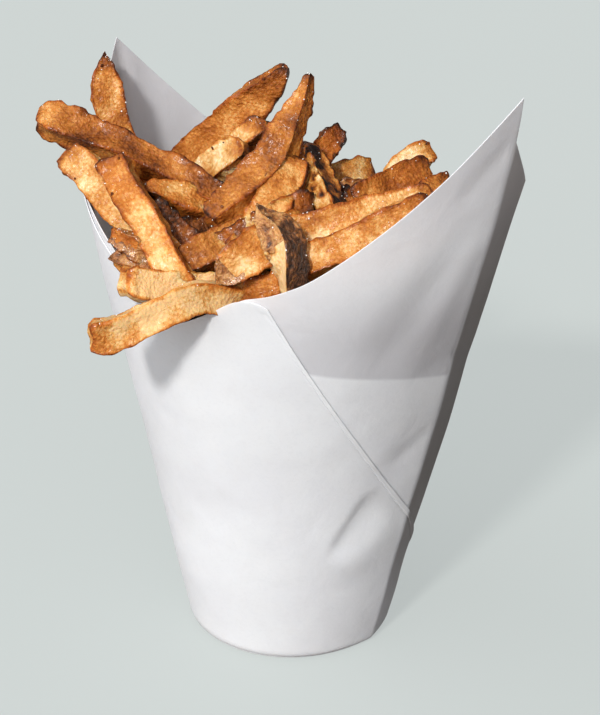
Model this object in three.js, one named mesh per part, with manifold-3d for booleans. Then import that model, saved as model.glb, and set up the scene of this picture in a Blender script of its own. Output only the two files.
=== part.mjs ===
// Hand-cut french fries heaped in a cone rolled from one square sheet of white deli paper.
// The cone stands on its folded-in base. It was creased flat and then opened by the fries, so it
// has two opposite creases that run up to the sheet's two standing corners.
//
// Millimetres, +Z up. The origin is the middle of the flat base, -Y is the front, where the outer
// edge of the rolled sheet crosses the wrapper, and +X is the side of the taller corner. Angles
// round the cone are in degrees from the front towards +X.

import * as THREE from 'three';
import { mergeVertices } from 'three/addons/utils/BufferGeometryUtils.js';
import Module from 'manifold-3d';

const wasm = await Module();
wasm.setup();

// ---- driving dimensions ----------------------------------------------------------------------
const BASE_RADIUS = 31.2;
const SLOPE = 0.2235; // radius gained for each mm of height
const LEAN = 0.0233; // the axis leans towards +X by this much for each mm of height
const DEPTH_RATIO = 1.014; // the mouth is a little deeper than it is wide
const CREASE_ANGLE = 50.5; // the other crease is opposite
const CREASE_SWELL = 0.05; // how far a crease stands out, as a share of the radius
const CREASE_WIDTH = 16; // degrees in which that fades
const PAPER_WALL = 0.9; // the rolled layers together
const PAPER_FLOOR = 1.2;
const GAP = 0.3; // between the paper and the food
const STATION_STEP = 7; // degrees, at most, between two columns of the paper's faces

// Corners of the sheet's upper edge, round the cone: the edge between two of them is straight in
// the flat sheet.
const RIM = [
  { angle: -129, height: 174 }, // standing corner at the back left
  { angle: -118, height: 158.5 },
  { angle: -106, height: 148.5 },
  { angle: -78, height: 146.5 },
  { angle: -57, height: 136 },
  { angle: -42, height: 121 }, // pressed down by the fries that hang over it
  { angle: -15, height: 137.5 },
  { angle: -8.5, height: 137.5 }, // corner of the outer layer
  { angle: 49, height: 192 }, // standing corner at the front right
  { angle: 51.3, height: 177.4 }, // the edge drops along the crease
  { angle: 57, height: 169.7 },
  { angle: 70, height: 156.6 },
  { angle: 82, height: 150.3 },
  { angle: 110, height: 137 },
  { angle: 162, height: 112 }, // lowest at the back
  { angle: 207, height: 143 },
];

// The outer layer's edge, a folded hem that runs down from the rim to the base.
const HEM_TOP = { angle: -8.5, height: 137 };
const HEM_CREASE = { angle: 50.5, height: 52 };
const HEM_BOTTOM = { angle: 140, height: 0.5 };
const HEM_START = -8.1; // angles where the raised strip starts and ends
const HEM_END = 137.4;
const HEM_HEIGHT = 2.7; // measured upright, as the hem runs at a slant
const HEM_LIFT = 1; // of the strip's middle over the hem's line
const HEM_PROUD = 0.5;
const HEM_STEPS = 22;

// The packed heap under the fries that show.
const CORE_TOP = 135; // at the middle
const CORE_FALL = 0.0075; // mm for each square mm away from the middle
const CORE_BACK_FALL = 0.18; // further fall for each mm towards the back
const CORE_ROWS = 4;

// Fries that a rule lays over the core and over the back of the heap.
const FRY_NARROWEST = 9; // a cut of three eighths of an inch, by hand
const FRY_WIDEST = 11.5;
const FRY_THICK = 9;
const FRY_SHORTEST = 38;
const FRY_LONGEST = 64;
const HALF_SHORTEST = 8; // a fry with less than this on one side of its middle is left out
const END_SMALLEST = 0.55; // size of an end as a share of the middle
const END_LARGEST = 0.95;
const FOOT_SIZE = 0.8;
const LYING_TILT = 4.5; // mm that an end may rise or sink
const BOW_DOWN = -1; // mm that the middle may sag or rise
const BOW_UP = 2;
const LYING_CLEAR = 7; // from the end of a fry's middle line to the paper
const BED_COUNT = 15;
const BED_REACH = 46; // radius of the area that they cover
const BED_LIFT = 2; // of their middle line over the core
const BACK_COUNT = 36; // over the whole mouth; only those at the back are laid
const BACK_FROM = 3;
const HEAP_LEFT = 142; // upper layer's middle line, over the origin
const HEAP_RIGHT = 137;
const HEAP_STEP_X = 12;
const HEAP_BACK_FALL = 0.51;

// ---- the cone's surface ----------------------------------------------------------------------
const RADIANS = Math.PI / 180;
const CONE_APEX = -BASE_RADIUS / SLOPE; // where the slanted wall would meet, below the base
const SHEET_TURN = Math.sin(Math.atan(SLOPE)); // turn in the flat sheet for each turn of the cone

function creaseSwell(angle) {
  let swell = 0;
  for (const crease of [CREASE_ANGLE, CREASE_ANGLE - 180]) {
    const away = Math.abs(((angle - crease + 540) % 360) - 180);
    swell += CREASE_SWELL * Math.exp(-away / CREASE_WIDTH);
  }
  return swell;
}

function wallRadius(angle, height) {
  return (BASE_RADIUS + SLOPE * height) * (1 + creaseSwell(angle));
}

// A point of the wall, moved out by `proud` mm; `share` 0 is the axis and 1 the wall.
function wallPoint(angle, height, proud = 0, share = 1) {
  const radius = (wallRadius(angle, height) + proud) * share;
  const x = radius * Math.sin(angle * RADIANS) + LEAN * height;
  const y = -DEPTH_RATIO * radius * Math.cos(angle * RADIANS);
  return new THREE.Vector3(x, y, height);
}

// Height where a straight line of the flat sheet, through two points of the wall, meets `angle`.
function sheetLine(from, to, angle) {
  const spread = (corner) => {
    const turn = corner.angle * RADIANS * SHEET_TURN;
    const reach = corner.height - CONE_APEX;
    return [reach * Math.cos(turn), reach * Math.sin(turn)];
  };
  const [ax, ay] = spread(from);
  const [bx, by] = spread(to);
  const turn = angle * RADIANS * SHEET_TURN;
  const across = (bx - ax) * Math.sin(turn) - (by - ay) * Math.cos(turn);
  return (bx * ay - ax * by) / across + CONE_APEX;
}

// The rim's sides as pairs of corners, closed round the cone.
const rimSides = RIM.map((corner, i) => {
  const next = RIM[(i + 1) % RIM.length];
  const turn = i + 1 === RIM.length ? 360 : 0;
  return [corner, { angle: next.angle + turn, height: next.height }];
});

function rimHeight(angle) {
  const first = RIM[0].angle;
  const wrapped = ((((angle - first) % 360) + 360) % 360) + first;
  const side = rimSides.find(([, to]) => wrapped <= to.angle);
  return sheetLine(side[0], side[1], wrapped);
}

// Angles of the columns: every rim corner has one, and the rest are spread evenly between.
const stations = rimSides.flatMap(([from, to]) => {
  const steps = Math.ceil((to.angle - from.angle) / STATION_STEP);
  return Array.from({ length: steps }, (_, i) => from.angle + ((to.angle - from.angle) * i) / steps);
});

// ---- meshes and booleans ---------------------------------------------------------------------
function toManifold(geometry) {
  const bare = geometry.clone();
  bare.deleteAttribute('normal');
  bare.deleteAttribute('uv');
  const merged = mergeVertices(bare, 1e-4);
  return new wasm.Manifold(new wasm.Mesh({
    numProp: 3,
    vertProperties: new Float32Array(merged.attributes.position.array),
    triVerts: new Uint32Array(merged.index.array),
  }));
}

function toGeometry(manifold) {
  const mesh = manifold.getMesh();
  const geometry = new THREE.BufferGeometry();
  geometry.setAttribute('position', new THREE.BufferAttribute(mesh.vertProperties, 3));
  geometry.setIndex(new THREE.BufferAttribute(mesh.triVerts, 1));
  geometry.computeVertexNormals();
  return geometry;
}

// The largest body without its sealed hollows: both come apart as pieces of their own.
function largestBody(manifold) {
  return manifold.decompose().reduce((best, piece) => (piece.volume() > best.volume() ? piece : best));
}

function moveVertices(geometry, place) {
  const position = geometry.attributes.position;
  const vertex = new THREE.Vector3();
  for (let i = 0; i < position.count; i += 1) {
    vertex.fromBufferAttribute(position, i);
    const moved = place(vertex);
    position.setXYZ(i, moved.x, moved.y, moved.z);
  }
  return geometry;
}

// A solid that fills the cone: `proud` moves its wall out, `top` gives its height at each angle
// and share of the radius, and `rows` are the rings of its upper face.
function coneSolid({ proud, floor, top, rows = 1 }) {
  const profile = [new THREE.Vector2(0, 0), new THREE.Vector2(1, 0)];
  for (let row = rows; row >= 0; row -= 1) profile.push(new THREE.Vector2(row / rows, 1));
  const lathe = new THREE.LatheGeometry(profile, stations.length);
  const columnAngle = (2 * Math.PI) / stations.length;
  return moveVertices(lathe, ({ x, y, z }) => {
    const share = Math.hypot(x, z);
    const column = Math.round(Math.atan2(x, z) / columnAngle) + stations.length;
    const angle = share < 1e-6 ? 0 : stations[column % stations.length];
    const height = y < 0.5 ? floor : top(angle, share);
    return wallPoint(angle, height, proud, share);
  });
}

// ---- paper cone ------------------------------------------------------------------------------
const OVER_RIM = 8; // the hollow's cutter stands this far over the rim

function paperShell(grow = 0) {
  const outside = toManifold(coneSolid({
    proud: grow,
    floor: -grow,
    top: (angle) => rimHeight(angle) + grow,
  }));
  const hollow = toManifold(coneSolid({
    proud: -PAPER_WALL - grow,
    floor: PAPER_FLOOR + grow,
    top: (angle) => rimHeight(angle) + OVER_RIM,
  }));
  return outside.subtract(hollow);
}

// Height of the hem's line at an angle: one straight line of the flat sheet, then down the back.
function hemHeight(angle) {
  if (angle <= CREASE_ANGLE) return sheetLine(HEM_TOP, HEM_CREASE, angle);
  return sheetLine(HEM_CREASE, HEM_BOTTOM, angle);
}

function hemStrip() {
  const strip = new THREE.BoxGeometry(1, 1, 1, HEM_STEPS, 1, 1);
  return moveVertices(strip, ({ x, y, z }) => {
    const angle = HEM_START + (HEM_END - HEM_START) * (x + 0.5);
    const height = hemHeight(angle) + HEM_LIFT - y * HEM_HEIGHT;
    return wallPoint(angle, height, z > 0 ? HEM_PROUD : -PAPER_WALL / 2);
  });
}

const paper = paperShell().add(toManifold(hemStrip()));

// ---- fries -----------------------------------------------------------------------------------
// Fries that lie on top, placed one by one. Each runs from its free end to its foot, which is
// sunk in the heap. `ends` are the sizes of the two ends as shares of the middle, `twist` turns
// the section about the length in degrees, and `bow` bends it upwards in the middle.
const TOP_FRIES = [
  { name: 'over_rim', tip: [-53, -68, 129], foot: [-3, -41, 124], width: 9.5, thick: 9,
    ends: [1.05, 0.9], twist: 70, bow: 7 },
  { name: 'orange_end', tip: [-46, -48, 137], foot: [7, -36, 127], width: 10, thick: 9.5,
    ends: [1, 0.9], twist: 55, bow: -1 },
  { name: 'skin_end', tip: [-20, -47, 138], foot: [14, -28, 144], width: 14, thick: 12.5,
    ends: [0.65, 0.9], twist: 20, bow: 1.5 },
  { name: 'skin_wedge', tip: [-8, -38, 155], foot: [6, -51, 128], width: 14, thick: 9,
    ends: [0.45, 1], twist: 10, bow: 5 },
  { name: 'rim_long', tip: [39, -45, 158], foot: [-8, -49, 136], width: 10.5, thick: 9.5,
    ends: [0.9, 0.9], twist: -55, bow: 0 },
  { name: 'rim_upper', tip: [40, -34, 156], foot: [-12, -41, 143], width: 11, thick: 9.5,
    ends: [0.85, 0.9], twist: -55, bow: 0.5 },
  { name: 'under_skin', tip: [3, -50, 137], foot: [-27, -37, 126], width: 9.5, thick: 9.5,
    ends: [0.9, 0.8], twist: -70, bow: 0 },
  { name: 'olive_mid', tip: [-27, -32, 139], foot: [6, -16, 128], width: 12, thick: 9.5,
    ends: [0.9, 0.8], twist: 55, bow: -2 },
  { name: 'curl_upper', tip: [-51, -29, 141], foot: [-24, -21, 125], width: 8, thick: 6.5,
    ends: [0.9, 0.8], twist: 65, bow: 0.5 },
  { name: 'curl_lower', tip: [-49, -37, 138], foot: [-18, -24, 123], width: 9.5, thick: 6.5,
    ends: [0.9, 0.8], twist: 40, bow: 0.5 },
  { name: 'pale_hand', tip: [-51, -17, 160], foot: [-28, -43, 129], width: 10, thick: 8.5,
    ends: [1.05, 1], twist: 45, bow: 3 },
  { name: 'pale_outer', tip: [-64, -6, 157], foot: [-30, -35, 127], width: 10.5, thick: 9,
    ends: [1, 0.8], twist: 55, bow: 4.5 },
  { name: 'long_left', tip: [-73, 8, 163], foot: [-12, -12, 141], width: 10, thick: 9,
    ends: [1.1, 0.7], twist: 30, bow: 2 },
  { name: 'leaf', tip: [-56, 33, 174], foot: [-42, 14, 128], width: 11, thick: 6.5,
    ends: [0.45, 0.6], twist: 30, bow: -2 },
  { name: 'red_stub', tip: [-42, -13, 149], foot: [4, -7, 138], width: 11.5, thick: 9.5,
    ends: [0.45, 0.9], twist: 30, bow: -1.5 },
  { name: 'long_centre', tip: [6, -6, 182], foot: [-22, -30, 147], width: 12.5, thick: 9.5,
    ends: [0.3, 0.6], twist: -15, bow: -5 },
  { name: 'top_long', tip: [-1, 13, 177], foot: [-42, 24, 132], width: 13, thick: 9,
    ends: [0.5, 0.95], twist: -85, bow: -0.5 },
  { name: 'pale_behind', tip: [-7, 9, 159], foot: [-38, 17, 129], width: 8, thick: 8.5,
    ends: [0.9, 0.8], twist: -45, bow: -0.5 },
  { name: 'pale_lower', tip: [-13, -1, 154], foot: [-42, 8, 130], width: 12.5, thick: 8.5,
    ends: [0.9, 0.8], twist: -55, bow: 1 },
  { name: 'short_mid', tip: [2, -16, 159], foot: [-13, -37, 138], width: 10.5, thick: 9.5,
    ends: [0.9, 1.1], twist: -25, bow: 1.5 },
  { name: 'ridged', tip: [6, -27, 150], foot: [-22, -34, 140], width: 8, thick: 8.5,
    ends: [0.9, 0.8], twist: -50, bow: 1.5 },
  { name: 'burnt_top', tip: [14, 4, 161], foot: [-1, -18, 143], width: 8.5, thick: 6.5,
    ends: [0.7, 0.9], twist: -40, bow: 0 },
  { name: 'burnt_skin', tip: [5, -8, 161], foot: [14, -34, 140], width: 9, thick: 8.5,
    ends: [0.6, 0.95], twist: 55, bow: 2 },
  { name: 'olive_nub', tip: [24, 10, 146], foot: [-6, -8, 140], width: 7, thick: 6.5,
    ends: [0.9, 0.8], twist: -45, bow: 1.5 },
  { name: 'nub_top', tip: [40, 8, 152], foot: [10, -8, 140], width: 8, thick: 6.5,
    ends: [0.9, 0.8], twist: -40, bow: 0.5 },
  { name: 'nub_brown', tip: [39, -3, 149], foot: [8, -22, 142], width: 9.5, thick: 8.5,
    ends: [1, 0.8], twist: -45, bow: 1 },
  { name: 'brown_curl', tip: [28, -12, 147], foot: [0, -20, 144], width: 6, thick: 5.5,
    ends: [0.9, 0.8], twist: -45, bow: 3.5 },
  { name: 'edge_nub', tip: [46, -12, 151], foot: [24, -32, 142], width: 6.5, thick: 7.5,
    ends: [0.9, 0.8], twist: -30, bow: 1.5 },
  { name: 'dark_back', tip: [-40, -20, 147], foot: [-14, -31, 124], width: 9.5, thick: 8.5,
    ends: [0.9, 0.8], twist: 45, bow: 0 },
];

// Seeded draws in 0..1, so that the heap is the same each time.
function seeded(seed) {
  let state = seed;
  return () => {
    state = (Math.imul(state, 1664525) + 1013904223) >>> 0;
    return state / 4294967296;
  };
}

const TOP_STEPS = 5; // rings along a fry that lies on top
const LYING_STEPS = 3; // and along one laid by the rule
const CORNER_ROUND = 0.84; // how far a fry's long edges are drawn in
const END_ROUND = 0.78;
const TAPER_POWER = 1.6; // a fry keeps its full size for longer with a higher power
const UNEVEN = 0.45; // mm that a fry's faces wander

function fryBody({ tip, foot, width, thick, ends, twist, bow, steps = TOP_STEPS }, draw) {
  const from = new THREE.Vector3(...tip);
  const to = new THREE.Vector3(...foot);
  const along = to.clone().sub(from).normalize();
  const side = new THREE.Vector3(0, 0, 1).cross(along).normalize();
  const up = along.clone().cross(side).normalize();
  const turn = twist * RADIANS;
  const box = new THREE.BoxGeometry(1, 1, 1, steps, 2, 2);
  box.deleteAttribute('normal');
  box.deleteAttribute('uv');
  const bar = mergeVertices(box);
  return moveVertices(bar, ({ x, y, z }) => {
    const share = x + 0.5;
    const atEnd = share < 0.01 || share > 0.99;
    const atCorner = Math.abs(y) > 0.4 && Math.abs(z) > 0.4;
    const endShare = share < 0.5 ? ends[0] : ends[1];
    const taper = 1 + (endShare - 1) * Math.abs(2 * x) ** TAPER_POWER;
    const drawn = taper * (atCorner ? CORNER_ROUND : 1) * (atEnd ? END_ROUND : 1);
    const wander = () => (draw() - 0.5) * 2 * UNEVEN;
    const across = y * width * drawn + wander();
    const high = z * thick * drawn + wander();
    const bend = bow * (1 - 4 * x * x);
    return from.clone().lerp(to, share)
      .addScaledVector(side, across * Math.cos(turn) - high * Math.sin(turn))
      .addScaledVector(up, across * Math.sin(turn) + high * Math.cos(turn) + bend);
  });
}

// Height of the core's upper face.
function coreHeight(x, y) {
  return CORE_TOP - CORE_FALL * (x * x + y * y) - CORE_BACK_FALL * Math.max(0, y);
}

// The core reaches into the paper's wall and floor, and the last cut trims it to the gap.
function heapCore() {
  return coneSolid({
    proud: -PAPER_WALL / 2,
    floor: PAPER_FLOOR / 2,
    rows: CORE_ROWS,
    top: (angle, share) => {
      const spot = wallPoint(angle, CORE_TOP, 0, share);
      return coreHeight(spot.x, spot.y);
    },
  });
}

// Height of the heap's upper side, which falls towards the back.
function heapHeight(x, y) {
  return (x > HEAP_STEP_X ? HEAP_RIGHT : HEAP_LEFT) - HEAP_BACK_FALL * y;
}

// Spots spread evenly over the mouth, the way seeds sit in a sunflower.
const GOLDEN_ANGLE = 137.5;

function evenSpots(count, reach) {
  return Array.from({ length: count }, (_, i) => {
    const radius = reach * Math.sqrt((i + 0.5) / count);
    const turn = i * GOLDEN_ANGLE * RADIANS;
    return { x: radius * Math.cos(turn), y: radius * Math.sin(turn) };
  });
}

// A fry that lies on `height(x, y)` with its middle at the spot, shortened where it would reach
// the paper.
function lyingFry(spot, height, draw) {
  const between = (low, high) => low + draw() * (high - low);
  const yaw = between(0, 2 * Math.PI);
  const half = between(FRY_SHORTEST, FRY_LONGEST) / 2;
  const tilt = between(-LYING_TILT, LYING_TILT);
  const endAt = (sign) => {
    for (let reach = half; reach > HALF_SHORTEST; reach -= 1) {
      const x = spot.x + sign * reach * Math.cos(yaw);
      const y = spot.y + sign * reach * Math.sin(yaw);
      const z = height(x, y) + sign * tilt;
      const room = BASE_RADIUS + SLOPE * z - PAPER_WALL - LYING_CLEAR;
      if (Math.hypot(x - LEAN * z, y) < room) return [x, y, z];
    }
    return null;
  };
  const [tip, foot] = [endAt(1), endAt(-1)];
  if (!tip || !foot) return null;
  const width = between(FRY_NARROWEST, FRY_WIDEST);
  const ends = [between(END_SMALLEST, END_LARGEST), FOOT_SIZE];
  const twist = between(0, 90);
  const bow = between(BOW_DOWN, BOW_UP);
  return { tip, foot, width, thick: FRY_THICK, ends, twist, bow, steps: LYING_STEPS };
}

const drawSpot = seeded(11);
const bedFries = evenSpots(BED_COUNT, BED_REACH)
  .map((spot) => lyingFry(spot, (x, y) => coreHeight(x, y) + BED_LIFT, drawSpot));
const backFries = evenSpots(BACK_COUNT, BED_REACH)
  .filter(({ y }) => y > BACK_FROM)
  .map((spot) => lyingFry(spot, heapHeight, drawSpot));

const drawFry = seeded(7);
const allFries = [...TOP_FRIES, ...bedFries, ...backFries].filter((fry) => fry !== null);
const fryBodies = allFries.map((fry) => toManifold(fryBody(fry, drawFry)));
const heap = wasm.Manifold.union([toManifold(heapCore()), ...fryBodies]);
const fries = largestBody(heap.subtract(paperShell(GAP)));

// ---- the finished group ----------------------------------------------------------------------
function namedMesh(name, manifold, material) {
  const mesh = new THREE.Mesh(toGeometry(manifold), new THREE.MeshStandardMaterial(material));
  mesh.name = name;
  return mesh;
}

const friesInCone = new THREE.Group();
friesInCone.add(namedMesh('paper_cone', paper, { color: 0xf0f0f2, roughness: 0.75, metalness: 0 }));
friesInCone.add(namedMesh('fries', fries, { color: 0xc98a3c, roughness: 0.5, metalness: 0 }));

export default friesInCone;
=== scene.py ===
import math

import bmesh
import bpy
import numpy as np
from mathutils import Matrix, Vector, noise


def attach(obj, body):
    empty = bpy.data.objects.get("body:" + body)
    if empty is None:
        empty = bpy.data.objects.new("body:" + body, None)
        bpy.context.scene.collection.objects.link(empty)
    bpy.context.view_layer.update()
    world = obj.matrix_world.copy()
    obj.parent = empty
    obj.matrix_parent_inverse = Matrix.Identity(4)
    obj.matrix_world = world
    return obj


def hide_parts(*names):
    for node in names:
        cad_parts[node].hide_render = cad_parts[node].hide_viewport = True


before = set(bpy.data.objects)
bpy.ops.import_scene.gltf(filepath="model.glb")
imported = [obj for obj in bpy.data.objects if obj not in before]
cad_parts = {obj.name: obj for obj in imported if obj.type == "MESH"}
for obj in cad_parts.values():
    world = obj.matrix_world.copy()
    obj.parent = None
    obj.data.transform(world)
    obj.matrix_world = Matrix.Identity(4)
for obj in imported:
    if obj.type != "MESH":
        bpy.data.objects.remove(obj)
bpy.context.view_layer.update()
bpy.ops.object.select_all(action="DESELECT")

# ---- The rolled sheet -------------------------------------------------------------------------
# One square sheet of white deli paper, rolled about one and two thirds turns into a cone with a flat
# foot. Its far edge is turned under as a hem and comes down across the front. It was creased flat
# before the fries pushed it open, so it has two opposite creases under its standing corners.
MM = 0.001
BASE_RADIUS = 31.2
SLOPE = 0.2235
LEAN = 0.0233  # mm to the right for each mm up
DEPTH_RATIO = 1.014  # front to back over side to side
FRONT_CREASE, BACK_CREASE = 50.5, -129.5
CREASE_SWELL = 0.05
CREASE_WIDTH = 16
CONE_APEX = -BASE_RADIUS / SLOPE
SHEET_TURN = math.sin(math.atan(SLOPE))
PAPER_THICK = 0.26
LAYER_STEP = 0.5  # from one turn of the sheet to the next
OUTER_PROUD = 0.25  # the outer end over the cone's nominal wall
HEM_START, OUTER_END = -8.5, 140  # degrees round the roll

# The sheet's upper edge from its hidden inner end to its outer end: degrees round the roll, and
# height in mm. From the hem's start on, the upper edge is the hem itself.
UPPER_EDGE = [
    (-453, 143.5), (-438, 146.4), (-432, 146.0), (-422, 141.6), (-415, 137), (-402, 120), (-392, 123),
    (-383, 129.5), (-378.3, 134.3), (-374.5, 136.9), (-370, 137.3), (-363, 140.6), (-360, 142),
    (-311, 192), (-308.7, 177.4), (-303, 169.7), (-290, 156.6), (-278, 150.3), (-250, 137),
    (-198, 112), (-153, 143), (-129, 174), (-118, 158.5), (-106, 148.5), (-90, 145.6), (-78, 144.2),
    (-64, 138.8), (-57, 136), (-48, 125), (-42, 121), (-34, 124), (-23, 131.4), (-18.3, 135.2),
    (-14.3, 136.6), (-11.4, 136.3), (-9.9, 135.5), (HEM_START, 134.3), (FRONT_CREASE, 52),
    (OUTER_END, 0.5),
]
SHARP_CORNERS = (-311, -308.7, -129, HEM_START, FRONT_CREASE)
EDGE_SOFTENING = 6
COLUMN_STEP = 1.5
EVEN_ROWS = 64
HEM_BAND, HEM_RISE = 1.85, 0.2
GROOVE_PLACE, GROOVE_DEPTH = 2.3, 0.22
EDGE_ROWS = (3.2, GROOVE_PLACE, HEM_BAND, 1.0, 0.12, 0.0)  # mm under the upper edge
FOOT_ROUND, FOOT_IN = 2.2, 1.3


def roll_radius(angle, height):
    """From the cone's middle line to its wall, in mm: a little more at the two creases."""
    swell = 1.0
    for crease in (FRONT_CREASE, BACK_CREASE):
        away = np.abs((angle - crease + 180) % 360 - 180)
        swell = swell + CREASE_SWELL * np.exp(-away / CREASE_WIDTH)
    return (BASE_RADIUS + SLOPE * height) * swell


def on_wall(angle, height, proud):
    """Points on the leaning wall, in metres, that stand out from it by so many mm."""
    radius = roll_radius(angle, height) + proud
    turn = np.radians(angle)
    x = radius * np.sin(turn) + LEAN * height
    y = -DEPTH_RATIO * radius * np.cos(turn)
    return np.stack([x, y, height + 0 * x], -1) * MM


def straight_cut(one, other, angle):
    """Height at an angle on a line that is straight in the flat sheet."""
    def spread(corner):
        turn = math.radians(corner[0]) * SHEET_TURN
        reach = corner[1] - CONE_APEX
        return reach * math.cos(turn), reach * math.sin(turn)
    ax, ay = spread(one)
    bx, by = spread(other)
    turn = math.radians(angle) * SHEET_TURN
    across = (bx - ax) * math.sin(turn) - (by - ay) * math.cos(turn)
    return (bx * ay - ax * by) / across + CONE_APEX


def upper_edge():
    """Columns of the sheet and the height of its edge at each, softened between sharp corners."""
    angles, heights = [], []
    for one, other in zip(UPPER_EDGE, UPPER_EDGE[1:]):
        steps = math.ceil((other[0] - one[0]) / COLUMN_STEP)
        for i in range(steps):
            angle = one[0] + (other[0] - one[0]) * i / steps
            angles.append(angle)
            heights.append(straight_cut(one, other, angle))
    angles.append(UPPER_EDGE[-1][0])
    heights.append(UPPER_EDGE[-1][1])
    angles, heights = np.array(angles), np.array(heights)
    fixed = np.isin(angles, SHARP_CORNERS)
    fixed[[0, -1]] = True
    for _ in range(EDGE_SOFTENING):
        softer = heights.copy()
        softer[1:-1] = (heights[:-2] + 2 * heights[1:-1] + heights[2:]) / 4
        heights = np.where(fixed | (angles > HEM_START), heights, softer)
    return angles, heights


PAPER_WAVES = ((44, 0.75), (17, 0.2), (7, 0.05))  # mm long, mm high
# Folds that fingers left in the paper: both ends as (degrees, mm up), width across in mm, depth in
# mm, and its kind: a line, a soft dent, or a step that falls away on its right side.
FINGER_FOLDS = [
    ((13.5, 44), (27, 65), 4.5, -1.15, "step"),
    ((30, 66), (46, 76), 7.0, -0.4, "dent"),
    ((18, 36), (44, 50), 8.0, 0.8, "dent"),
    ((36, 73), (51, 83), 2.6, -0.7, "line"),
    ((38, 105), (54, 108), 2.6, -0.5, "line"),
    ((22, 108), (40, 146), 8.0, -0.9, "dent"),
    ((38, 164), (50, 178), 3.5, -0.5, "dent"),
    ((46, 150), (38, 118), 5.0, 0.5, "dent"),
    ((-130.6, 172), (-136.5, 128), 4.2, -0.9, "line"),
    ((-150, 150), (-146, 118), 7.0, 0.6, "dent"),
    ((-60, 40), (-30, 62), 9.0, -0.5, "dent"),
    ((-35, 95), (-20, 122), 8.0, -0.4, "dent"),
    ((96, 60), (70, 104), 6.0, -0.7, "line"),
    ((150, 30), (185, 70), 8.0, -0.9, "line"),
    ((215, 52), (178, 96), 7.0, -0.8, "line"),
    ((-100, 60), (-70, 110), 7.0, -0.6, "dent"),
]


def creasing(angle, height):
    """How far the paper stands out at each point, in mm: broad waves, small waves and folds."""
    real = (angle + 180) % 360 - 180
    girth = roll_radius(angle, height)
    turn = np.radians(real)
    places = np.stack([girth * np.sin(turn), girth * np.cos(turn), height], -1)
    stood = np.zeros(len(real))
    for size, rise in PAPER_WAVES:
        stood += rise * np.array([noise.noise(Vector(place / size)) for place in places])
    for one, other, width, depth, kind in FINGER_FOLDS:
        middle = math.radians((one[0] + other[0]) / 2)
        arc = girth * ((turn - middle + math.pi) % (2 * math.pi) - math.pi)
        reach = (other[0] - one[0]) / 2 * math.pi / 180 * girth
        rise = (other[1] - one[1]) / 2
        length = np.hypot(reach, rise)
        up = height - (one[1] + other[1]) / 2
        along = (arc * reach + up * rise) / length ** 2
        right_of = (arc * rise - up * reach) / length
        fade = np.clip(1.5 - np.abs(along) * 1.1, 0, 1)
        fade = fade * fade * (3 - 2 * fade)
        if kind == "line":
            shape = np.exp(-np.abs(right_of) / width)
        elif kind == "dent":
            shape = np.exp(-(right_of / width) ** 2)
        else:
            shape = np.maximum(right_of, 0) / width * np.exp(1 - np.maximum(right_of, 0) / width)
        stood += depth * shape * fade
    return stood * np.clip((height - 2) / 14, 0, 1)


def read_points(piece):
    points = np.empty(len(piece.data.vertices) * 3, np.float32)
    piece.data.vertices.foreach_get("co", points)
    return points.reshape(-1, 3).astype(float)


def place_points(piece, points):
    piece.data.vertices.foreach_set("co", points.astype(np.float32).ravel())
    piece.data.update()


def write_mask(piece, name, values):
    mask = piece.data.attributes.new(name, "FLOAT", "POINT")
    mask.data.foreach_set("value", np.asarray(values, np.float32))


edge_angles, edge_heights = upper_edge()
columns = len(edge_angles) - 1
rows = EVEN_ROWS + len(EDGE_ROWS) - 1
bpy.ops.mesh.primitive_grid_add(x_subdivisions=columns, y_subdivisions=rows, size=1)
rolled_sheet = bpy.context.object
rolled_sheet.name = "rolled_sheet"
flat = read_points(rolled_sheet)
column = np.rint((flat[:, 0] + 0.5) * columns).astype(int)
row = np.rint((flat[:, 1] + 0.5) * rows).astype(int)
angle, top = edge_angles[column], edge_heights[column]
edge_band = np.array(EDGE_ROWS)[np.clip(row - EVEN_ROWS, 0, len(EDGE_ROWS) - 1)]
shrink = np.clip(top / 8, 0, 1)  # the rows under the edge close up where it nears the foot
even_share = (np.minimum(row, EVEN_ROWS) / EVEN_ROWS) ** 1.15
height = np.where(row >= EVEN_ROWS, top - edge_band * shrink, even_share * (top - EDGE_ROWS[0] * shrink))
proud = OUTER_PROUD + LAYER_STEP * (angle - OUTER_END) / 360 + creasing(angle, height)
on_hem = angle > HEM_START - 0.1
under_edge = top - height
proud += np.where(on_hem & (row > EVEN_ROWS) & (under_edge < HEM_BAND + 0.01), HEM_RISE, 0)
proud -= np.where(on_hem & (np.abs(under_edge - GROOVE_PLACE) < 0.1), GROOVE_DEPTH, 0)
foot = np.clip(1 - height / FOOT_ROUND, 0, 1)
proud -= FOOT_IN * foot * foot
place_points(rolled_sheet, on_wall(angle, height, proud))
write_mask(rolled_sheet, "unrolled", angle)  # tells the layers apart once they are one mesh
bpy.ops.object.mode_set(mode="EDIT")
bpy.ops.mesh.select_all(action="SELECT")
bpy.ops.mesh.remove_doubles(threshold=0.00002)
bpy.ops.mesh.normals_make_consistent(inside=False)
bpy.ops.object.mode_set(mode="OBJECT")
wall = rolled_sheet.modifiers.new("wall", "SOLIDIFY")
wall.thickness = PAPER_THICK * MM
wall.offset = -1
wall.use_even_offset = False
bpy.ops.object.modifier_apply(modifier="wall")
bpy.ops.object.shade_smooth_by_angle(angle=math.radians(26))

# ---- Paper finish -----------------------------------------------------------------------------
# Bleached white paper with a faint wax sheen: short fibres and soft cockles. Shade is painted into its
# colour: a darker tone where one layer lies over the fries' shade, up the two standing corners, and on the
# faces past the creases.


def new_finish(name):
    """A new material, and its nodes, links and shader."""
    finish = bpy.data.materials.new(name)
    finish.use_nodes = True
    nodes = finish.node_tree.nodes
    return finish, nodes, finish.node_tree.links, nodes["Principled BSDF"]


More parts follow.
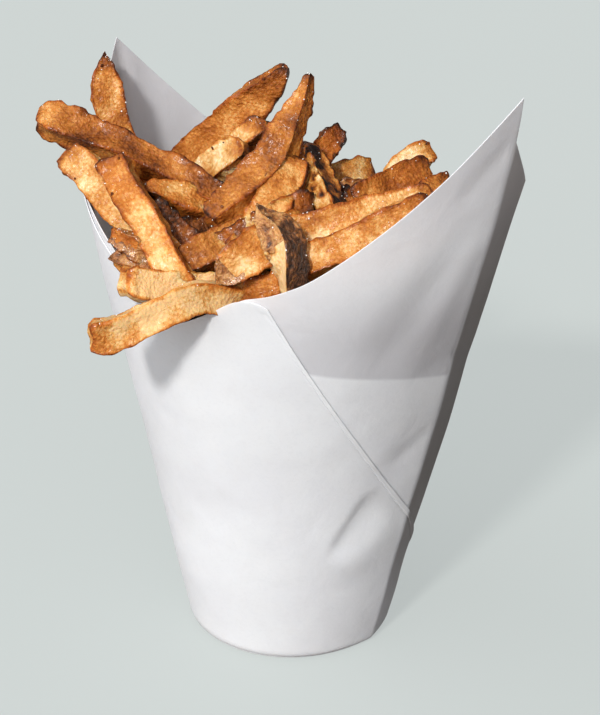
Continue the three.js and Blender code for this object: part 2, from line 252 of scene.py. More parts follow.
paper_finish, nodes, links, shader = new_finish("white_deli_paper")
shader.inputs["Specular IOR Level"].default_value = 0.35
shader.inputs["Subsurface Weight"].default_value = 0.6
shader.inputs["Subsurface Radius"].default_value = (1.0, 0.92, 0.86)
shader.inputs["Subsurface Scale"].default_value = 0.001
place = nodes.new("ShaderNodeTexCoord")


def paint_noise(scale, detail=3.0, rough=0.55, source=None, distortion=0.0):
    cloud = nodes.new("ShaderNodeTexNoise")
    cloud.inputs["Scale"].default_value = scale
    cloud.inputs["Detail"].default_value = detail
    cloud.inputs["Roughness"].default_value = rough
    cloud.inputs["Distortion"].default_value = distortion
    links.new(source or place.outputs["Object"], cloud.inputs["Vector"])
    return cloud.outputs["Fac"]


def math_node(kind, one, two, clamp=False):
    step = nodes.new("ShaderNodeMath")
    step.operation = kind
    step.use_clamp = clamp
    for socket, value in zip(step.inputs, (one, two)):
        if isinstance(value, (int, float)):
            socket.default_value = value
        else:
            links.new(value, socket)
    return step.outputs["Value"]


def stretch(value, low, high, to_low=0.0, to_high=1.0):
    """A mask's range drawn out smoothly to another range."""
    ranged = nodes.new("ShaderNodeMapRange")
    ranged.interpolation_type = "SMOOTHSTEP"
    ends = {"From Min": low, "From Max": high, "To Min": to_low, "To Max": to_high}
    for name, number in ends.items():
        ranged.inputs[name].default_value = number
    links.new(value, ranged.inputs["Value"])
    return ranged.outputs["Result"]


def blend_colours(factor, one, two, mode="MIX"):
    mix = nodes.new("ShaderNodeMix")
    mix.data_type = "RGBA"
    mix.blend_type = mode
    for name, value in (("Factor", factor), ("A", one), ("B", two)):
        if isinstance(value, (int, float, tuple)):
            mix.inputs[name].default_value = value
        else:
            links.new(value, mix.inputs[name])
    return mix.outputs["Result"]


cloudy = stretch(paint_noise(30, 4), 0.35, 0.7)
fibre = paint_noise(900, 2, 0.7)
paper_tone = blend_colours(cloudy, (0.86, 0.865, 0.885, 1), (0.80, 0.80, 0.83, 1))
fibre_shade = math_node("MULTIPLY", stretch(fibre, 0.45, 0.75), 0.12)
paper_tone = blend_colours(fibre_shade, paper_tone, (0.66, 0.66, 0.69, 1))


def add_mask(name, way="Fac"):
    """What the mesh carries under this name, point by point."""
    mask = nodes.new("ShaderNodeAttribute")
    mask.attribute_name = name
    return mask.outputs[way]


# Painted shade of the fries, seen through one layer of paper.
see_through_shade = math_node("MULTIPLY", stretch(add_mask("over_line"), -0.7, 0.7), add_mask("layer_shade"))
paper_tone = blend_colours(see_through_shade, paper_tone, (0.58, 0.575, 0.60, 1))
# Painted shade, multiplied in on the faces past the creases and the panel before the front one.
paper_tone = blend_colours(add_mask("painted_crease_shade"), paper_tone, (0.35, 0.335, 0.32, 1), "MULTIPLY")
links.new(paper_tone, shader.inputs["Base Color"])
links.new(stretch(cloudy, 0, 1, 0.5, 0.62), shader.inputs["Roughness"])


def low_relief(height, strength, distance, under=None):
    """Relief too low for the mesh, on top of another's where there is one."""
    relief = nodes.new("ShaderNodeBump")
    relief.inputs["Strength"].default_value = strength
    relief.inputs["Distance"].default_value = distance
    links.new(height, relief.inputs["Height"])
    if under:
        links.new(under, relief.inputs["Normal"])
    return relief.outputs["Normal"]


cockle = low_relief(paint_noise(75, 4, 0.5, distortion=0.6), 0.24, 0.0012)
links.new(low_relief(fibre, 0.25, 0.00012, cockle), shader.inputs["Normal"])


def smooth_step(value, low, high):
    share = np.clip((value - low) / (high - low), 0, 1)
    return share * share * (3 - 2 * share)


# Painted shade: one layer over the fries is painted darker than two, for their shade seen through it. On
# the front's right panel the change is a line that falls a little to the right, and up the two standing
# corners the painted shade comes on softly.
LINE_HEIGHT, LINE_FALL, LINE_START = 110.7, 0.23, 9
BEHIND_HEM = -200  # the layer that the hem lies on is rolled further in than this
points = read_points(rolled_sheet) / MM
up = points[:, 2]
around = np.degrees(np.arctan2(points[:, 0] - LEAN * up, -points[:, 1] / DEPTH_RATIO))
over_line = up - LINE_HEIGHT + LINE_FALL * (around - LINE_START)
unrolled = np.empty(len(points), np.float32)
rolled_sheet.data.attributes["unrolled"].data.foreach_get("value", unrolled)
before_crease = around < FRONT_CREASE + 0.5
on_panel = (unrolled < BEHIND_HEM) & (around > -12) & before_crease
on_panel = on_panel * 0.92 * (1 - smooth_step(up, 118, 150))
behind = np.where(around > 120, around - 360, around)
back_corner = smooth_step(-behind, 100, 125) * smooth_step(up, 95, 115)
right_corner = 0.42 * smooth_step(around, -10, 25) * before_crease * smooth_step(up, 142, 172)
corners = np.maximum(back_corner, right_corner)
write_mask(rolled_sheet, "over_line", np.where(corners > 0, 5, over_line))
write_mask(rolled_sheet, "layer_shade", np.maximum(on_panel, 0.9 * corners))
# Painted shade: the narrow faces just past the two creases, turned away from the light, are painted greyer,
# and so is the panel before the front crease, but less.
crease_shade_by_height = smooth_step(up, -30, 40) * np.interp(up, (0, 20, 60, 120, 165), (0.2, 0.62, 1.0, 1.0, 0.72))
front_crease_shade = smooth_step(around, FRONT_CREASE, 53) * (1 - smooth_step(around, 68, 105)) * crease_shade_by_height
back_crease_shade = smooth_step(around, -130, -127) * (1 - smooth_step(around, -124, -105))
mid_height = smooth_step(up, 40, 90) * (1 - smooth_step(up, 115, 150))
panel_side_shade = smooth_step(around, 8, 45) * (around < FRONT_CREASE) * mid_height
write_mask(rolled_sheet, "painted_crease_shade", front_crease_shade + 0.3 * panel_side_shade + 0.4 * back_crease_shade)
rolled_sheet.data.materials.append(paper_finish)
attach(rolled_sheet, "root")
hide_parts("paper_cone")

# ---- The folded-in foot -----------------------------------------------------------------------
# The sheet's tip is tucked in under the cone in flat pleats that overlap round the middle, so the
# cone stands on them.
PLEATS, PLEAT_RISE = 9, 0.7
PLEAT_SWEEP = 30  # degrees that a pleat turns from the rim to the middle
FOOT_RINGS = (0.85, 0.6, 0.35, 0.12)
FOOT_RISE, FOOT_INSET = 0.32, 1.0  # mm over the table and in from the wall
bpy.ops.object.select_all(action="DESELECT")
bpy.ops.mesh.primitive_circle_add(vertices=PLEATS * 16, radius=1, fill_type="NOTHING")
folded_foot = bpy.context.object
folded_foot.name = "folded_foot"
bpy.ops.object.mode_set(mode="EDIT")
bpy.ops.mesh.select_all(action="SELECT")
for share in FOOT_RINGS:
    bpy.ops.mesh.extrude_region_move()
    ring = bmesh.from_edit_mesh(folded_foot.data)
    for vertex in ring.verts:
        if vertex.select:
            turn = math.atan2(vertex.co.y, vertex.co.x)
            vertex.co = (share * math.cos(turn), share * math.sin(turn), 0)
    bmesh.update_edit_mesh(folded_foot.data)
bpy.ops.mesh.fill()
bpy.ops.mesh.select_all(action="SELECT")
bpy.ops.mesh.normals_make_consistent(inside=False)
bpy.ops.object.mode_set(mode="OBJECT")
points = read_points(folded_foot)
share = np.hypot(points[:, 0], points[:, 1])
turn = np.degrees(np.arctan2(points[:, 0], -points[:, 1]))
pleat = ((turn + PLEAT_SWEEP * (1 - share)) / 360 * PLEATS) % 1
placed = on_wall(turn, np.full(len(turn), 0.45), -FOOT_INSET) / MM * share[:, None]
placed[:, 2] = FOOT_RISE + PLEAT_RISE * np.minimum(pleat, (1 - pleat) * 6) * (1 - share ** 4)
place_points(folded_foot, placed * MM)
wall = folded_foot.modifiers.new("wall", "SOLIDIFY")
wall.thickness = PAPER_THICK * MM
wall.offset = 0
bpy.ops.object.modifier_apply(modifier="wall")
bpy.ops.object.shade_smooth_by_angle(angle=math.radians(20))
folded_foot.data.materials.append(paper_finish)
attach(folded_foot, "root")

# ---- Packed fries below -----------------------------------------------------------------------
# The fries under the top ones can't be told apart: one lumpy heap that fills the roll to just under its rim
# and is lower at the back. It is coloured near black as painted shade, the deep shade between fries, and
# lighter to the right.
CORE_TOP, CORE_FOOT = 135, 2.0
CORE_FALL, CORE_BACK_FALL = 0.0075, 0.18
CORE_IN = -2.2  # mm from the wall's outer face
RIM_MIDDLE = 110.0
LUMPS_ACROSS, LUMP_RISE = 9, 4


def core_height(x, y):
    """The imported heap's top, in mm: a low dome that falls further at the back."""
    return CORE_TOP - CORE_FALL * (x * x + y * y) - CORE_BACK_FALL * np.maximum(0, y)


bpy.ops.object.select_all(action="DESELECT")
bpy.ops.mesh.primitive_cylinder_add(vertices=96, radius=1, depth=1, end_fill_type="TRIFAN")
packed_fries = bpy.context.object
packed_fries.name = "packed_fries"
bpy.ops.object.mode_set(mode="EDIT")
bpy.ops.mesh.select_all(action="DESELECT")
shape = bmesh.from_edit_mesh(packed_fries.data)
for face in shape.faces:
    face.select = face.normal.z > 0.5
bmesh.update_edit_mesh(packed_fries.data)
bpy.ops.mesh.subdivide(number_cuts=11)
bpy.ops.mesh.select_all(action="SELECT")
bpy.ops.mesh.quads_convert_to_tris()
bpy.ops.object.mode_set(mode="OBJECT")
points = read_points(packed_fries)
turn = np.degrees(np.arctan2(points[:, 0], -points[:, 1]))
share = np.hypot(points[:, 0], points[:, 1])
rim_spot = on_wall(turn, np.full(len(turn), RIM_MIDDLE), CORE_IN) / MM
upper = points[:, 2] > 0
top = core_height(rim_spot[:, 0] * share, rim_spot[:, 1] * share)
lumps = np.array([noise.noise(Vector((x * LUMPS_ACROSS, y * LUMPS_ACROSS, 4))) for x, y, z in points])
height = np.where(upper, top + LUMP_RISE * lumps * (1 - share ** 6), CORE_FOOT)
placed = on_wall(turn, height, CORE_IN) / MM
placed[:, :2] *= share[:, None]
placed[:, 0] += LEAN * height * (1 - share)
place_points(packed_fries, placed * MM)
bpy.ops.object.shade_smooth_by_angle(angle=math.radians(40))

# ---- Fried potato finish ----------------------------------------------------------------------
# Fried potato runs from straw through gold and orange brown to near black where it is thin. The jacket is
# glossy, wrinkled and brown. Each fry carries how toasted it is, with painted shade added in the same mask,
# where its jacket is left, how warm its colour is, and the run of its grain.
TOAST = [
    (0.00, (0.80, 0.60, 0.34)),
    (0.12, (0.69, 0.41, 0.155)),
    (0.28, (0.55, 0.225, 0.046)),
    (0.46, (0.36, 0.118, 0.017)),
    (0.66, (0.18, 0.050, 0.008)),
    (0.84, (0.055, 0.017, 0.005)),
    (1.00, (0.014, 0.006, 0.004)),
]
JACKET = [
    (0.05, (0.020, 0.009, 0.005)),
    (0.30, (0.10, 0.036, 0.011)),
    (0.50, (0.36, 0.13, 0.032)),
    (0.78, (0.66, 0.34, 0.12)),
]


def colour_steps(value, stops):
    steps = nodes.new("ShaderNodeValToRGB")
    steps.color_ramp.elements[1].position = stops[-1][0]
    steps.color_ramp.elements[0].position = stops[0][0]
    for spot, colour in stops[1:-1]:
        steps.color_ramp.elements.new(spot)
    for stop, (spot, colour) in zip(steps.color_ramp.elements, stops):
        stop.color = (*colour, 1)
    links.new(value, steps.inputs["Fac"])
    return steps.outputs["Color"]


def off_middle(value, amount):
    """A noise as a change either way."""
    return math_node("MULTIPLY", math_node("SUBTRACT", value, 0.5), amount)


fried_finish, nodes, links, shader = new_finish("fried_potato")
grain_run = add_mask("grain", "Vector")
drawn_out = nodes.new("ShaderNodeVectorMath")
drawn_out.operation = "MULTIPLY"
drawn_out.inputs[1].default_value = (0.22, 1, 1)
links.new(grain_run, drawn_out.inputs[0])
patches = paint_noise(120, 3, 0.55, grain_run, 0.4)
mottle = paint_noise(420, 3, 0.6, grain_run)
fine = paint_noise(1300, 2, 0.65, grain_run)
streaks = paint_noise(820, 2, 0.6, drawn_out.outputs["Vector"], 0.8)
cells = nodes.new("ShaderNodeTexVoronoi")
cells.feature = "SMOOTH_F1"
cells.inputs["Scale"].default_value = 1000
links.new(grain_run, cells.inputs["Vector"])
blisters = stretch(cells.outputs["Distance"], 0.1, 0.75, 1.0, 0.0)
crisp = stretch(math_node("ADD", add_mask("rim"), off_middle(mottle, 0.3)), 0.72, 1.0)
# This mask carries painted shade as well as the fry's real toasting.
browned_and_shaded = math_node("ADD", add_mask("browning_and_shade"), math_node("MULTIPLY", crisp, 0.12))
for spots, amount in ((patches, 0.4), (mottle, 0.22), (streaks, 0.06), (blisters, -0.14)):
    browned_and_shaded = math_node("ADD", browned_and_shaded, off_middle(spots, amount))
browned_and_shaded = math_node("ADD", browned_and_shaded, off_middle(fine, 0.35), clamp=True)
toast = colour_steps(browned_and_shaded, TOAST)
warm = math_node("ADD", add_mask("warmth"), math_node("MULTIPLY", crisp, 0.75), True)
flesh = blend_colours(warm, toast, (1.0, 0.78, 0.52, 1), "MULTIPLY")
wrinkle_noise = paint_noise(620, 3, 0.6, grain_run, 0.7)
jacket_tone = math_node("ADD", off_middle(wrinkle_noise, 1.1), 0.72)
jacket_tone = math_node("SUBTRACT", jacket_tone, math_node("MULTIPLY", add_mask("browning_and_shade"), 0.5))
jacket = colour_steps(jacket_tone, JACKET)
skin = stretch(math_node("ADD", add_mask("skin"), off_middle(mottle, 0.2)), 0.42, 0.58)
links.new(blend_colours(skin, flesh, jacket), shader.inputs["Base Color"])
rough = math_node("ADD", stretch(mottle, 0.3, 0.7, 0.46, 0.62), math_node("MULTIPLY", skin, -0.2))
links.new(rough, shader.inputs["Roughness"])
shader.inputs["Specular IOR Level"].default_value = 0.2
shader.inputs["Subsurface Weight"].default_value = 0.35
shader.inputs["Subsurface Radius"].default_value = (1.0, 0.45, 0.18)
shader.inputs["Subsurface Scale"].default_value = 0.002
oily = stretch(paint_noise(600, 2, 0.7, grain_run), 0.45, 0.62, 0.0, 0.5)
links.new(math_node("ADD", math_node("MULTIPLY", skin, 0.8), oily, True), shader.inputs["Coat Weight"])
shader.inputs["Coat Roughness"].default_value = 0.2
relief = math_node("ADD", math_node("MULTIPLY", blisters, 0.4), math_node("MULTIPLY", mottle, 0.15))
relief = math_node("ADD", relief, math_node("MULTIPLY", fine, 0.8))
wrinkled = math_node("MULTIPLY", wrinkle_noise, skin)
crust = low_relief(math_node("MULTIPLY", relief, stretch(browned_and_shaded, 0.0, 0.5, 0.5, 1.0)), 0.9, 0.0009)
links.new(low_relief(wrinkled, 1.0, 0.0014, crust), shader.inputs["Normal"])
links.new(low_relief(math_node("ADD", relief, wrinkled), 0.5, 0.0005), shader.inputs["Coat Normal"])


def write_grain(piece, places):
    """Places in mm that the grain follows: along the fry, across it and through it."""
    grain = piece.data.attributes.new("grain", "FLOAT_VECTOR", "POINT")
    grain.data.foreach_set("vector", (places * MM).astype(np.float32).ravel())


def fry_evenly(piece, browning_and_shade):
    """One finish all over a piece with no jacket and no crisp edge."""
    count = len(piece.data.vertices)
    for name, value in (("browning_and_shade", browning_and_shade), ("skin", 0), ("rim", 0), ("warmth", 0.5)):
        write_mask(piece, name, np.broadcast_to(value, count))
    write_grain(piece, read_points(piece) / MM)
    piece.data.materials.append(fried_finish)


# Painted shade: the heap is coloured near black for the deep shade under the top fries, less so to the
# right.
fry_evenly(packed_fries, 0.92 - 0.3 * smooth_step(read_points(packed_fries)[:, 0] / MM, 5, 25))
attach(packed_fries, "root")

# ---- Fries on top -----------------------------------------------------------------------------
# Hand-cut potato, a little under three eighths of an inch thick. Frying shrinks the faces and
# leaves crisp, knobbly edges. Some fries keep their jacket on one side. They lie as tipped in.


def slice_edges(piece, axis, cuts):
    """Cuts across every edge of the piece that runs along one axis."""
    bpy.ops.object.mode_set(mode="EDIT")
    bpy.ops.mesh.select_mode(type="EDGE")
    bpy.ops.mesh.select_all(action="DESELECT")
    shape = bmesh.from_edit_mesh(piece.data)
    for edge in shape.edges:
        run = edge.verts[1].co - edge.verts[0].co
        edge.select = abs(run[axis]) > 0.99 * run.length
    bmesh.update_edit_mesh(piece.data)
    bpy.ops.mesh.subdivide(number_cuts=cuts)
    bpy.ops.object.mode_set(mode="OBJECT")


def raw_cut(name, along, across):
    """A square stick of potato, 2 units each way, with its faces in a grid."""
    bpy.ops.object.select_all(action="DESELECT")
    bpy.ops.mesh.primitive_cube_add(size=2, location=(0, 0, 0))
    stick = bpy.context.object
    stick.name = name
    for axis, cuts in ((0, along), (1, across), (2, across)):
        slice_edges(stick, axis, cuts)
    return stick


def ripple(points, size):
    """Smooth noise at each point, with lumps of this size in mm."""
    return np.array([noise.noise(Vector(point)) for point in points / size])


def read_normals(piece):
    normals = np.empty(len(piece.data.vertices) * 3, np.float32)
    piece.data.vertices.foreach_get("normal", normals)
    return normals.reshape(-1, 3)


def unit(vector):
    vector = np.asarray(vector, float)
    return vector / np.maximum(np.linalg.norm(vector, axis=-1, keepdims=True), 1e-9)


CRISP = 12.0  # power that rounds a fry's section: higher is squarer
END_ROUND, END_WORN = 1.8, 0.26
LINE_MARKS, LINE_SOFTENING = 121, 100
LINE_WANDER = ((0.7, 15), (0.6, 13))  # mm to the side and up, and over what length
FACE_HOLLOW, END_BULGE = 0.65, 0.5


def lay_fry(stick, name, spine, width, thick, face=(0, 0, 1), twist=0, ends=(0.9, 0.8), waist=None,
            seed=0, brown=0.25, edges=0.3, burnt=(0.2, 0.15), shade_side=None, jacket=None, skinned_end=-9,
            charred=0, warm=0.4, knobbly=1.0, curl=8):
    """One fry along its spine, from its free end to its foot, with its broad side to face. waist gives its
    width along its length; shade_side and jacket are directions with an amount, and shade_side makes the
    faces turned that way browner as painted shade; burnt browns the two ends; skinned_end is the length in
    mm that the jacket goes round at the free end."""
    fry = stick.copy()
    fry.data = stick.data.copy()
    fry.name = name
    bpy.context.collection.objects.link(fry)
    grid = read_points(fry)
    place = grid[:, 0] / 2 + 0.5
    place = place - 0.45 * np.sin(2 * np.pi * place) / (2 * np.pi)
    offset = np.array([seed * 17.3, seed * 7.9, seed * 3.1])

    # The line down its middle, softened, and the frame that follows it.
    stops = np.array(spine, float)
    reach = np.append(0, np.cumsum(np.linalg.norm(np.diff(stops, axis=0), axis=1)))
    length = reach[-1]
    marks = np.linspace(0, length, LINE_MARKS)
    line = np.stack([np.interp(marks, reach, stops[:, i]) for i in range(3)], -1)
    for _ in range(LINE_SOFTENING):
        line[1:-1] = (line[:-2] + 2 * line[1:-1] + line[2:]) / 4
    along = unit(np.gradient(line, axis=0))
    up = unit(np.array(face, float) - (along @ np.array(face, float))[:, None] * along)
    side = np.cross(up, along)
    line, along, side, up = [np.stack([np.interp(place * length, marks, way[:, i]) for i in range(3)], -1)
                             for way in (line, along, side, up)]
    middle = np.stack([place * length, 0 * place, 0 * place], -1) + offset
    for way, shift, (amount, size) in zip((side, up), (0, 50), LINE_WANDER):
        line = line + way * (amount * ripple(middle + shift, size))[:, None]

    # Its section: square with worn corners, slimmer at the ends.
    grid[:, 1:] = np.sign(grid[:, 1:]) * np.abs(grid[:, 1:]) ** 0.7
    y, z = grid[:, 1], grid[:, 2]
    size = np.maximum(np.maximum(np.abs(y), np.abs(z)), 1e-6)
    section = CRISP - 1.5 * (seed % 3)
    round_off = (np.abs(y / size) ** section + np.abs(z / size) ** section) ** (-1 / section)
    y, z = y * round_off, z * round_off
    if waist:
        stops = np.array(waist, float)
        wide = np.interp(place, stops[:, 0], stops[:, 1])
        high = wide ** 0.5
    else:
        end = np.where(place < 0.5, ends[0], ends[1])
        wide = 1 + (end - 1) * np.abs(2 * place - 1) ** 1.6
        high = wide
    from_end = np.minimum(place, 1 - place) * length
    worn = 1 - END_WORN * np.clip(1 - from_end / END_ROUND, 0, 1) ** 2
    reach_y = y * width / 2 * wide * worn
    reach_z = z * thick / 2 * high * worn

    # Lumps, hollow faces and knobbly edges.
    nearer = np.minimum(np.abs(grid[:, 1]), np.abs(grid[:, 2]))
    corner = smooth_step(nearer, 0.68, 1.0) * (size > 0.999)
    local = np.stack([place * length, reach_y, reach_z], -1) + offset
    swell = 1.1 * ripple(local / (1.6, 1, 1), 7.5) + 0.6 * ripple(local, 3.4)
    swell = swell - FACE_HOLLOW * (1 - nearer ** 2)
    swell = swell + knobbly * (0.3 + 0.7 * corner) * 0.8 * ripple(local + 90, 1.9)
    swell = swell * wide ** 0.5
    out = np.stack([np.sign(way) * np.abs(way) ** (section - 1) / across
                    for way, across in ((y, width), (z, thick))], -1)
    out = unit(out) * np.where(size > 0.999, 1, size ** 2)[:, None]
    reach_y = reach_y + out[:, 0] * swell
    reach_z = reach_z + out[:, 1] * swell
    cap = (grid[:, 0] > 0.999) * 1.0 - (grid[:, 0] < -0.999)
    slide = cap * (END_BULGE * (1 - size ** 2) + 1.3 * ripple(local + 30, 4.0))
    turn = np.radians(twist + curl * ripple(middle + 20, 24) * 2)
    side_reach = reach_y * np.cos(turn) - reach_z * np.sin(turn)
    up_reach = reach_y * np.sin(turn) + reach_z * np.cos(turn)
    points = line + side * side_reach[:, None] + up * up_reach[:, None] + along * slide[:, None]
    place_points(fry, points * MM)

    # How toasted it is, with painted shade on the faces turned away from the light, where its jacket is
    # left, its warmth, and the run of its grain.
    facing = read_normals(fry)
    browning_and_shade = brown + 0.5 * edges * corner + 0.3 * ripple(local, 6.0)
    browning_and_shade = browning_and_shade + 0.14 * smooth_step(-from_end, -1.8, 0) * smooth_step(size, 0.7, 1)
    browning_and_shade = browning_and_shade + burnt[0] * smooth_step(-place * length, -7, 0)
    browning_and_shade = browning_and_shade + burnt[1] * smooth_step((place - 1) * length, -6, 0)
    browning_and_shade = browning_and_shade + charred * smooth_step(ripple(local + 120, 2.4), 0.05, 0.4)
    # Painted shade: faces turned this way, away from the light, are made browner.
    if shade_side:
        way, amount = shade_side
        browning_and_shade = browning_and_shade + amount * smooth_step(facing @ unit(way), 0.25, 0.9)
    coat = np.zeros(len(points))
    if jacket:
        way, amount = jacket
        coat = smooth_step(facing @ unit(way) + 0.2 * ripple(local + 70, 4.5), 0.75 - amount, 1.05 - amount)
        coat = np.maximum(coat, smooth_step(-place * length, -skinned_end - 0.7, -skinned_end + 0.7))
    rim = np.maximum(nearer * (size > 0.999), np.where(cap != 0, size, 1 - from_end / 3))
    write_mask(fry, "browning_and_shade", browning_and_shade)
    write_mask(fry, "rim", rim)
    write_mask(fry, "skin", coat)
    write_mask(fry, "warmth", np.full(len(points), warm))
    write_grain(fry, local)
    return fry


def tip_together(fries, name):
    """Joins laid fries into one piece."""
    bpy.ops.object.select_all(action="DESELECT")
    for fry in fries:
        fry.select_set(True)
    bpy.context.view_layer.objects.active = fries[0]
    bpy.ops.object.join()
    heap = bpy.context.object
    heap.name = name
    bpy.ops.object.mode_set(mode="EDIT")
    bpy.ops.mesh.select_all(action="SELECT")
    bpy.ops.mesh.normals_make_consistent(inside=False)
    bpy.ops.object.mode_set(mode="OBJECT")
    bpy.ops.object.shade_smooth()
    heap.data.materials.append(fried_finish)
    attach(heap, "root")
    return heap


RIGHT, LEFT, DOWN, UP = (1, -0.3, 0), (-1, -0.3, 0), (0, -0.3, -1), (0, -0.3, 1)
UNDER_RIGHT, TO_EYE = (1, -0.3, -0.8), (0, -0.89, 0.45)
